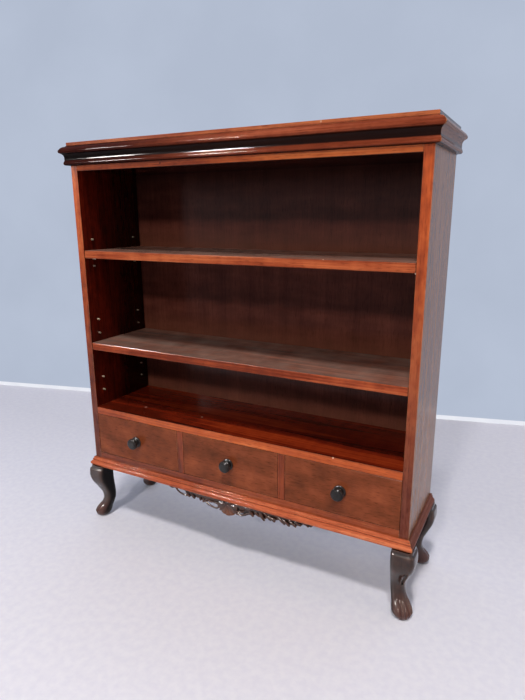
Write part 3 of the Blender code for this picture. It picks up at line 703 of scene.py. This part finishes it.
# The board left behind the strokes: its lower edge, from the middle towards the wing's end.
left_ground = (
    (0, 38), (20, 37), (25, 37), (31, 33), (35, 28), (41, 24), (56, 22), (66, 21), (72, 23),
    (79, 22), (88, 22.5), (93, 25.5), (98, 23.5), (110, 20), (116, 16.5), (121, 20), (126, 22.5),
    (132, 18), (140, 21.5), (145, 21), (148, 8), (152, 4), (176, 3.5), (186, 4), (189, 7),
    (196, 7), (204, 8), (209, 10.5), (214, 8.5), (221, 3.5))
right_ground = (
    (0, 38), (20, 36), (25, 32), (29, 34), (39, 32.5), (57, 27.5), (68, 22), (79, 26),
    (86, 25), (93, 19), (104, 17.5), (113, 19.5), (118, 25), (121, 28.5), (124, 26), (128, 18.5),
    (140, 19.5), (156, 22.5), (164, 19), (172, 15.8), (177, 17), (184, 20.5), (188, 24),
    (193, 21.5), (201, 23), (210, 21.5), (219, 22), (227, 18), (235, 16.5), (243, 11), (250, 8),
    (258, 10), (266, 13), (270, 9.5), (276, 3))
ground_front, ground_back, ground_top = 1.0, 7.0, 0.3
stroke_sides, stroke_steps, stroke_fullness, stroke_depth_share = 12, 6, 1.3, 0.9
shell_ribs, shell_hub_drop, shell_reach, shell_dome = 7, 7.0, 41.5, 5.6
rib_shares, rib_fullness, rib_depth_share = (0.12, 0.35, 0.6, 0.90), 1.12, 0.62
shell_hub = ((-11, 6, 2, 3.5), (0, 4, 4, 5), (11, 6, 2, 3.5))
carving_voxel = 0.0009
board_setback, board_overlap = 0.0095, 0.0003


def as_modified(thing):
    """The mesh that a thing's modifiers make of it. The thing itself is taken away."""
    bpy.context.view_layer.update()
    mesh = bpy.data.meshes.new_from_object(
        thing.evaluated_get(bpy.context.evaluated_depsgraph_get()))
    before = thing.data
    bpy.data.objects.remove(thing)
    bpy.data.meshes.remove(before)
    return mesh


def add_stroke(shape, points, fullness, depth_share, direction=1):
    """Sweep a round stroke of changing width through points on the apron's face, in mm."""
    rows = [(number, *point) for number, point in enumerate(points)]
    count = stroke_steps * (len(points) - 1)
    places = [smooth_row(rows, (len(points) - 1) * step / count) for step in range(count + 1)]
    rings = []
    for number, (along, drop, out, half) in enumerate(places):
        ahead, behind = places[min(number + 1, count)], places[max(number - 1, 0)]
        run = Vector((ahead[0] - behind[0], 0, behind[1] - ahead[1])).normalized()
        across = Vector((-run.z, 0, run.x))
        half *= fullness
        ring = []
        for index in range(stroke_sides):
            angle = math.tau * index / stroke_sides
            spot = (Vector((along, -out, -drop)) + across * (half * math.cos(angle))
                    + Vector((0, half * depth_share * math.sin(angle), 0))) * mm
            ring.append(shape.verts.new((direction * spot.x, spot.y, spot.z)))
        rings.append(ring)
    skin(shape, rings)


apron_low, apron_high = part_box("carved_apron")
carving = bmesh.new()
for direction, strokes, ground in ((-1, left_wing, left_ground), (1, right_wing, right_ground)):
    skin(carving, [[carving.verts.new((direction * along * mm, back * mm, height * mm))
                    for back, height in ((ground_front, ground_top), (ground_back, ground_top),
                                         (ground_back, -drop), (ground_front, -drop))]
                   for along, drop in ground])
    for stroke in strokes:
        add_stroke(carving, stroke, stroke_fullness, stroke_depth_share, direction)
for rib in range(shell_ribs):
    lean = math.pi * (rib + 0.5) / shell_ribs - math.pi / 2
    reach = shell_reach * (0.86 + 0.14 * math.cos(lean))
    add_stroke(carving, [
        (share * reach * math.sin(lean), shell_hub_drop + share * reach * math.cos(lean),
         shell_dome * math.sin(math.pi * (0.2 + 0.65 * share)),
         share * reach * math.pi / shell_ribs / 2)
        for share in rib_shares], rib_fullness, rib_depth_share)
add_stroke(carving, shell_hub, 1.0, stroke_depth_share)
bmesh.ops.translate(carving, verts=carving.verts,
                    vec=(0, apron_low.y + board_setback, apron_high.z - board_overlap))
carver = in_scene("carver", settled("rough_carving", carving, degrees=180))
melt = carver.modifiers.new("one_piece", "REMESH")
melt.mode, melt.voxel_size, melt.use_smooth_shade = "VOXEL", carving_voxel, True
soften = carver.modifiers.new("soften", "SMOOTH")
soften.factor, soften.iterations = 0.5, 2
apron_mesh = as_modified(carver)
apron_mesh.name = "rococo_apron"
# The lightest colour on the carving, on its most raised edges, is a painted glint.
dark_apron_stain = dark_carved_mahogany(
    "dark_stained_mahogany_carving", "060302", "24120C", "4A2A1C", "8A5A44", 0.30)
# The shell in the middle is rubbed brown.
shell_worn_edge, shell_worn_middle = 0.034, 0.016
tree = dark_apron_stain.node_tree
away = add_node(tree, "ShaderNodeVectorMath", [
    add_node(tree, "ShaderNodeTexCoord").outputs["Object"], (0, apron_low.y, apron_low.z)],
    operation="DISTANCE")
overlay_between(dark_apron_stain, away, shell_worn_edge, shell_worn_middle, 0.6, "7A4424")
finished("rococo_apron", apron_mesh, dark_apron_stain, "dark_stained_mahogany", "carcase",
         "carved_apron")

# Shelves and their pegs

# Two loose mahogany boards. Years of books have dulled the polish on their tops, dust has
# settled along the back, and their front arrises are rubbed pale. Each lies on four turned
# brass pegs.

mahogany_shelf = polished_mahogany(
    "worn_polished_mahogany_shelf", "X", ("32130C", "602A1A", "8E4A32"),
    ("6E2C18", "964426", "B66038"), streaks=0.75, mottling=0.34, roughness=0.46, coat=0.5,
    gloss=0.18, dust=0.72)
add_marks(mahogany_shelf, ((0.2848, case_front + 0.001, 0.9221), 0.003, "D8B49A"))
dress(mahogany_shelf, "polished_mahogany", "shelf_lower", "shelf_upper")


tarnish_spots_per_metre = 420.0


def tarnished_brass(name, clean, tarnish, roughness):
    """Turned brass, bright and pale, with small dull spots of straw-coloured tarnish."""
    material, tree, shader, place = new_finish(name)
    spots = add_node(tree, "ShaderNodeTexNoise", {
        "Vector": place, "Scale": tarnish_spots_per_metre, "Detail": 4.0})
    feed(shader, {
        "Base Color": add_node(tree, "ShaderNodeValToRGB", [spots], [
            (0.42, clean), (0.64, tarnish)]),
        "Roughness": add_node(tree, "ShaderNodeMath", [spots, 0.4, roughness - 0.2],
                              operation="MULTIPLY_ADD"),
        "Metallic": 1.0})
    return material


old_brass = tarnished_brass("tarnished_turned_brass", "F6F0E2", "D8C8A4", 0.40)
dress(old_brass, "brass", *[f"shelf_peg_{level}_{end}_{side}" for level in ("lower", "upper")
                            for end in ("front", "back") for side in ("left", "right")])

# Brass peg sockets

# Small turned brass eyelets, driven into the spare peg holes of the sides. Their lips stand a
# little proud of the wood and catch the light as pale dots.

socket_heights = (0.4594, 0.5044, 0.6542, 0.6991, 0.8714, 0.9538)
socket_lip_radius, socket_hole_radius = 0.0050, 0.0026
socket_stand, socket_depth = 0.0007, 0.0060
shelf_play = 0.001
weld_distance = 0.00002


def eyelet_tree():
    """A Geometry Nodes tree that puts a turned eyelet on each point of a mesh."""
    tree = bpy.data.node_groups.new("eyelets", "GeometryNodeTree")
    tree.is_modifier = True
    tree.interface.new_socket("Holes", in_out="INPUT", socket_type="NodeSocketGeometry")
    for name in ("Hole Radius", "Lip Radius", "Stand", "Depth", "Turn"):
        tree.interface.new_socket(name, in_out="INPUT", socket_type="NodeSocketFloat")
    tree.interface.new_socket("Brass", in_out="INPUT", socket_type="NodeSocketMaterial")
    tree.interface.new_socket("Eyelets", in_out="OUTPUT", socket_type="NodeSocketGeometry")
    given = add_node(tree, "NodeGroupInput").outputs
    lip_round = add_node(tree, "GeometryNodeCurvePrimitiveCircle", {
        "Resolution": 20, "Radius": given["Lip Radius"]})
    lip_width = add_node(tree, "ShaderNodeMath", [given["Hole Radius"], given["Lip Radius"]],
                         operation="SUBTRACT")
    bottom = add_node(tree, "ShaderNodeMath", [given["Depth"], -1.0], operation="MULTIPLY")
    corners = [add_node(tree, "ShaderNodeCombineXYZ", [across, out]) for across, out in (
        (0.0, 0.0), (0.0, given["Stand"]), (lip_width, given["Stand"]), (lip_width, bottom))]
    outline = add_node(tree, "GeometryNodeJoinGeometry")
    for start, end in zip(corners, corners[1:]):
        feed(outline, [add_node(tree, "GeometryNodeCurvePrimitiveLine", {
            "Start": start, "End": end})])
    turned = add_node(tree, "GeometryNodeCurveToMesh", {
        "Curve": lip_round, "Profile Curve": outline})
    welded = add_node(tree, "GeometryNodeMergeByDistance", {
        "Geometry": turned, "Distance": weld_distance})
    facing_out = add_node(tree, "ShaderNodeCombineXYZ", {"Y": given["Turn"]})
    spread = add_node(tree, "GeometryNodeInstanceOnPoints", {
        "Points": given["Holes"], "Instance": welded, "Rotation": facing_out})
    real = add_node(tree, "GeometryNodeRealizeInstances", {"Geometry": spread})
    add_node(tree, "NodeGroupOutput", [add_node(tree, "GeometryNodeSetMaterial", {
        "Geometry": real, "Material": given["Brass"]})])
    return tree


eyelets = eyelet_tree()
socket_ids = {item.name: item.identifier for item in eyelets.interface.items_tree
              if item.in_out == "INPUT"}
shelf_low, shelf_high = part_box("shelf_upper")
for side_name, inner_x, turn in (("left", shelf_low.x - shelf_play, math.pi / 2),
                                 ("right", shelf_high.x + shelf_play, -math.pi / 2)):
    holes = bpy.data.meshes.new("holes")
    holes.from_pydata([(inner_x, (low.y + high.y) / 2, height) for low, high in (
        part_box("shelf_peg_lower_front_left"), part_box("shelf_peg_lower_back_left"))
        for height in socket_heights], [], [])
    driven = in_scene("driven_eyelets", holes)
    maker = driven.modifiers.new("eyelets", "NODES")
    maker.node_group = eyelets
    for name, value in (("Hole Radius", socket_hole_radius), ("Lip Radius", socket_lip_radius),
                        ("Stand", socket_stand), ("Depth", socket_depth), ("Turn", turn),
                        ("Brass", old_brass)):
        maker[socket_ids[name]] = value
    turned_rings = as_modified(driven)
    shape = bmesh.new()
    shape.from_mesh(turned_rings)
    bpy.data.meshes.remove(turned_rings)
    finished(f"peg_sockets_{side_name}", settled(f"peg_sockets_{side_name}", shape, degrees=35),
             old_brass, "brass", "carcase")

# Drawers

# Three drawers in a row, with flush fronts of mahogany chosen for its mottle, and sides, back
# and bottom of plain oak. Each slides on the bottom board and has one turned knob.

drawer_woods = ("4C2716", "743B22", "924D2F")
mahogany_drawer = polished_mahogany("french_polished_drawer_front", "X", drawer_woods,
                                    drawer_woods, figure=0.22, streaks=0.10, mottling=0.60,
                                    mottle=(0.060, 0.045), coat=0.5, gloss=0.22)
oak_grain_length, oak_grain_width, oak_grain_depth = 0.30, 0.004, 0.0002


def plain_oak(name, grain, dark, light):
    """Planed oak left bare: fine straight lines of grain, brown and pale, on a dry dull face."""
    material, tree, shader, place = new_finish(name)
    lines = drawn_out(tree, place, grain, oak_grain_length, oak_grain_width, 5.0)
    feed(shader, {
        "Base Color": add_node(tree, "ShaderNodeValToRGB", [lines], [(0.35, dark), (0.65, light)]),
        "Roughness": add_node(tree, "ShaderNodeMath", [lines, 0.3, 0.5],
                              operation="MULTIPLY_ADD"),
        "Normal": add_node(tree, "ShaderNodeBump", {
            "Height": lines, "Distance": oak_grain_depth, "Strength": 0.6})})
    return material


oak_deep = plain_oak("bare_oak_drawer_sides", "Y", "7E5A38", "AE8558")
oak_long = plain_oak("bare_oak_drawer_backs", "X", "76522F", "A57C50")
for bay in ("left", "middle", "right"):
    dress(mahogany_drawer, "polished_mahogany", f"drawer_{bay}_front")
    dress(oak_deep, "plain_drawer_wood", f"drawer_{bay}_left_side", f"drawer_{bay}_right_side")
    dress(oak_long, "plain_drawer_wood", f"drawer_{bay}_back", f"drawer_{bay}_bottom",
          f"drawer_{bay}_stop")

# Knobs

# Turned from ebonised beech: a flange against the drawer front, a narrow neck, and a
# flat-fronted head with a rounded edge and a turned ring. They shine from handling.

# The knob's outline from the flange out to the middle of its face, as shares of its radius and
# of its projection.
knob_outline = (
    (0.93, 0.00), (0.97, 0.03), (0.985, 0.08), (0.975, 0.13), (0.93, 0.17), (0.84, 0.20),
    (0.70, 0.22), (0.58, 0.25), (0.52, 0.29), (0.50, 0.34), (0.50, 0.42), (0.53, 0.47),
    (0.62, 0.515), (0.76, 0.545), (0.89, 0.575), (0.965, 0.61), (0.995, 0.66), (1.00, 0.71),
    (0.995, 0.77), (0.975, 0.83), (0.93, 0.88), (0.875, 0.905), (0.835, 0.90), (0.815, 0.885),
    (0.80, 0.89), (0.79, 0.92), (0.775, 0.96), (0.74, 0.975), (0.55, 0.985), (0.28, 0.995))
knob_around = 64
knob_gap = 0.0003
# The beech is stained black and has a thin glossy polish, so a knob is seen by its glints. Its
# most raised edges also carry a faint painted glint.
ebonised_beech = dark_carved_mahogany(
    "polished_ebonised_beech", "040303", "0A0807", "14100F", "2C2421", 0.30)
feed(ebonised_beech.node_tree.nodes["Principled BSDF"], {
    "Specular IOR Level": 0.1, "Coat Roughness": 0.05, "Coat IOR": 1.34, "Coat Weight": 0.75})
flange_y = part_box("drawer_left_front")[0].y - knob_gap
turns = [math.tau * index / knob_around for index in range(knob_around)]
for bay in ("left", "middle", "right"):
    low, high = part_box(f"drawer_{bay}_knob")
    middle_x, middle_z, head = (low.x + high.x) / 2, (low.z + high.z) / 2, (high.x - low.x) / 2
    stand = flange_y - low.y
    shape = bmesh.new()
    rings = []
    for across, out in knob_outline:
        rings.append([shape.verts.new((
            middle_x + across * head * math.cos(turn), flange_y - out * stand,
            middle_z + across * head * math.sin(turn))) for turn in turns])
    skin(shape, rings, closed=False)
    for ring, out in ((rings[0], 0.0), (rings[-1], 1.0)):
        pole = shape.verts.new((middle_x, flange_y - out * stand, middle_z))
        for index in range(knob_around):
            shape.faces.new((ring[index], ring[(index + 1) % knob_around], pole))
    finished(f"turned_knob_{bay}", settled(f"turned_knob_{bay}", shape, degrees=50),
             ebonised_beech, "ebonised_wood", f"{bay}_drawer", f"drawer_{bay}_knob")

# Room

# A pale sealed floor and a pale blue wall with a white skirting, which stands at an angle
# behind the bookcase as in the photograph. None of it is part of the object.


def seen_directly(tree):
    """1 for what the camera sees and the polish mirrors, and 0 for what lights the wood."""
    rays = add_node(tree, "ShaderNodeLightPath").outputs
    seen = rays["Is Camera Ray"]
    for kind in ("Is Glossy Ray", "Is Transmission Ray"):
        seen = add_node(tree, "ShaderNodeMath", [seen, rays[kind]], operation="MAXIMUM")
    return seen


def plain_surface(name, base, mottled, patch, roughness, glow):
    """A painted or sealed surface, faintly mottled. Glow is the share of its colour that the
    camera and the polish see whatever the lamps do."""
    material, tree, shader, place = new_finish(name)
    cloud = add_node(tree, "ShaderNodeTexNoise", {
        "Vector": place, "Scale": 1 / patch, "Detail": 5.0})
    colour = add_node(tree, "ShaderNodeValToRGB", [cloud], [(0.35, base), (0.65, mottled)])
    feed(shader, {"Base Color": colour, "Roughness": roughness})
    share = add_node(tree, "ShaderNodeMath", [seen_directly(tree), glow], operation="MULTIPLY")
    feed(tree.nodes["Material Output"], {"Surface": add_node(tree, "ShaderNodeMixShader", [
        share, shader, add_node(tree, "ShaderNodeEmission", [colour])])})
    return material


def flat_stage(name, finish, *corners):
    """A flat sheet of the room."""
    mesh = bpy.data.meshes.new(name)
    mesh.from_pydata(corners, [], [tuple(range(len(corners)))])
    mesh.materials.append(finish)
    in_scene(name, mesh)


sealed_floor = plain_surface("sealed_screed_floor", "DDE0F2", "E4E7F6", 0.02, 0.6, 0.08)
# The light falls off towards the wall.
falloff_reach = 0.60
tree, spot, facing = over_surface(sealed_floor)
overlay_between(sealed_floor, spot["Y"], case_front - falloff_reach, case_front + falloff_reach,
                1.0, "DADBDC", "MULTIPLY")
painted_wall = plain_surface("matt_blue_wall_paint", "B2BCCF", "B7C1D4", 0.5, 0.8, 1.0)
white_skirting = plain_surface("white_gloss_skirting", "E6E8F2", "ECEEF6", 0.1, 0.4, 1.0)
# From behind, the wall is looked through, so that every side of the bookcase can be seen.
for paint in (painted_wall, white_skirting):
    tree = paint.node_tree
    shown = tree.nodes["Material Output"].inputs["Surface"]
    feed(shown.node, {"Surface": add_node(tree, "ShaderNodeMixShader", [
        add_node(tree, "ShaderNodeNewGeometry").outputs["Backfacing"],
        shown.links[0].from_socket, add_node(tree, "ShaderNodeBsdfTransparent")])})

floor_reach = 9.0
flat_stage("floor", sealed_floor, (-floor_reach, -floor_reach, 0), (floor_reach, -floor_reach, 0),
           (floor_reach, floor_reach, 0), (-floor_reach, floor_reach, 0))
wall_line = (Vector((-2.198, case_front + 0.835, 0)), Vector((0.745, case_front + 1.592, 0)))
wall_run = (wall_line[1] - wall_line[0]).normalized()
wall_reach, wall_height, skirting_height, skirting_stand = 6.0, 6.0, 0.022, 0.01
wall_left = wall_line[0] - wall_run * wall_reach
wall_right = wall_line[1] + wall_run * wall_reach
up = Vector((0, 0, 1))
flat_stage("wall", painted_wall, wall_left, wall_right, wall_right + up * wall_height,
           wall_left + up * wall_height)
step = Vector((wall_run.y, -wall_run.x, 0)) * skirting_stand
flat_stage("skirting", white_skirting, wall_left + step, wall_right + step,
           wall_right + step + up * skirting_height, wall_left + step + up * skirting_height)

# The light comes from a high and a lower lamp in front, which throw the shadows of the boards
# on the shelves and the back panel, a wide weak one to the right, and the room all round. Three
# strips to the left and overhead add no light to the wood, only the glints that run along the
# polished beads and show on the knobs, the feet and the carving.


def lamp_towards(name, target, rise, aside, distance, size, power, colour, width=None):
    """A flat lamp in front of a target. Rise and aside are its height and its place to the
    right for each metre that it stands in front."""
    data = bpy.data.lights.new(name, "AREA")
    data.shape, data.size, data.size_y, data.energy = "RECTANGLE", width or size, size, power
    data.color = linear_colour(colour)[:3]
    lamp = in_scene(name, data)
    direction = Vector((aside, -1, rise)).normalized()
    lamp.location = target + direction * distance
    lamp.rotation_mode = "QUATERNION"
    lamp.rotation_quaternion = direction.to_track_quat("Z", "Y")
    return lamp


middle = Vector((0, case_front, 0.62))
lamp_towards("high_lamp", middle, 2.3, 0.35, 9.0, 1.0, 520, "FFF6EC")
lamp_towards("low_lamp", middle, 0.61, 0.06, 16.0, 1.1, 980, "FFF6EC")
for strip in (lamp_towards("left_strip", middle, 0.694, -0.694, 4.03, 0.3, 280, "FFF8F2", 0.5),
              lamp_towards("far_left_strip", middle, 0.545, -1.09, 4.34, 0.3, 160, "FFF8F2", 0.4),
              lamp_towards("ceiling_strip", middle, 2.0, 0.20, 3.6, 0.3, 300, "FFF8F2", 0.5)):
    strip.visible_diffuse = False
lamp_towards("right_lamp", middle, 8.0, 20.0, 5.0, 3.0, 55, "FFE6CC")
# Lamps see a dim room. The camera and the polish see it as bright as it looks.
room_fill, room_brightness = 0.13, 1.0
world = bpy.data.worlds.new("pale_room")
bpy.context.scene.world = world
world.use_nodes = True
tree = world.node_tree
feed(tree.nodes["Background"], {
    "Color": linear_colour("DCDDE4"),
    "Strength": add_node(tree, "ShaderNodeMapRange", [
        seen_directly(tree), 0.0, 1.0, room_fill, room_brightness])})

# Camera

# It stands where the photograph was taken from, a little to the right and above half height.

camera_data = bpy.data.cameras.new("camera")
camera_data.sensor_width = 36.0
camera_data.lens = 27.77
camera = in_scene("camera", camera_data)
bpy.context.scene.camera = camera
camera_place = Vector((0.7796, case_front - 1.23865, 1.0321))
view_forward = Vector((-0.4571, 0.8546, -0.2465)).normalized()
view_up = Vector((-0.1110, 0.2201, 0.9691))
view_right = view_forward.cross(view_up).normalized()
view_up = view_right.cross(view_forward)
camera.matrix_world = Matrix.Translation(camera_place) @ Matrix(
    (view_right, view_up, -view_forward)).transposed().to_4x4()
bpy.context.scene.view_settings.view_transform = "Standard"
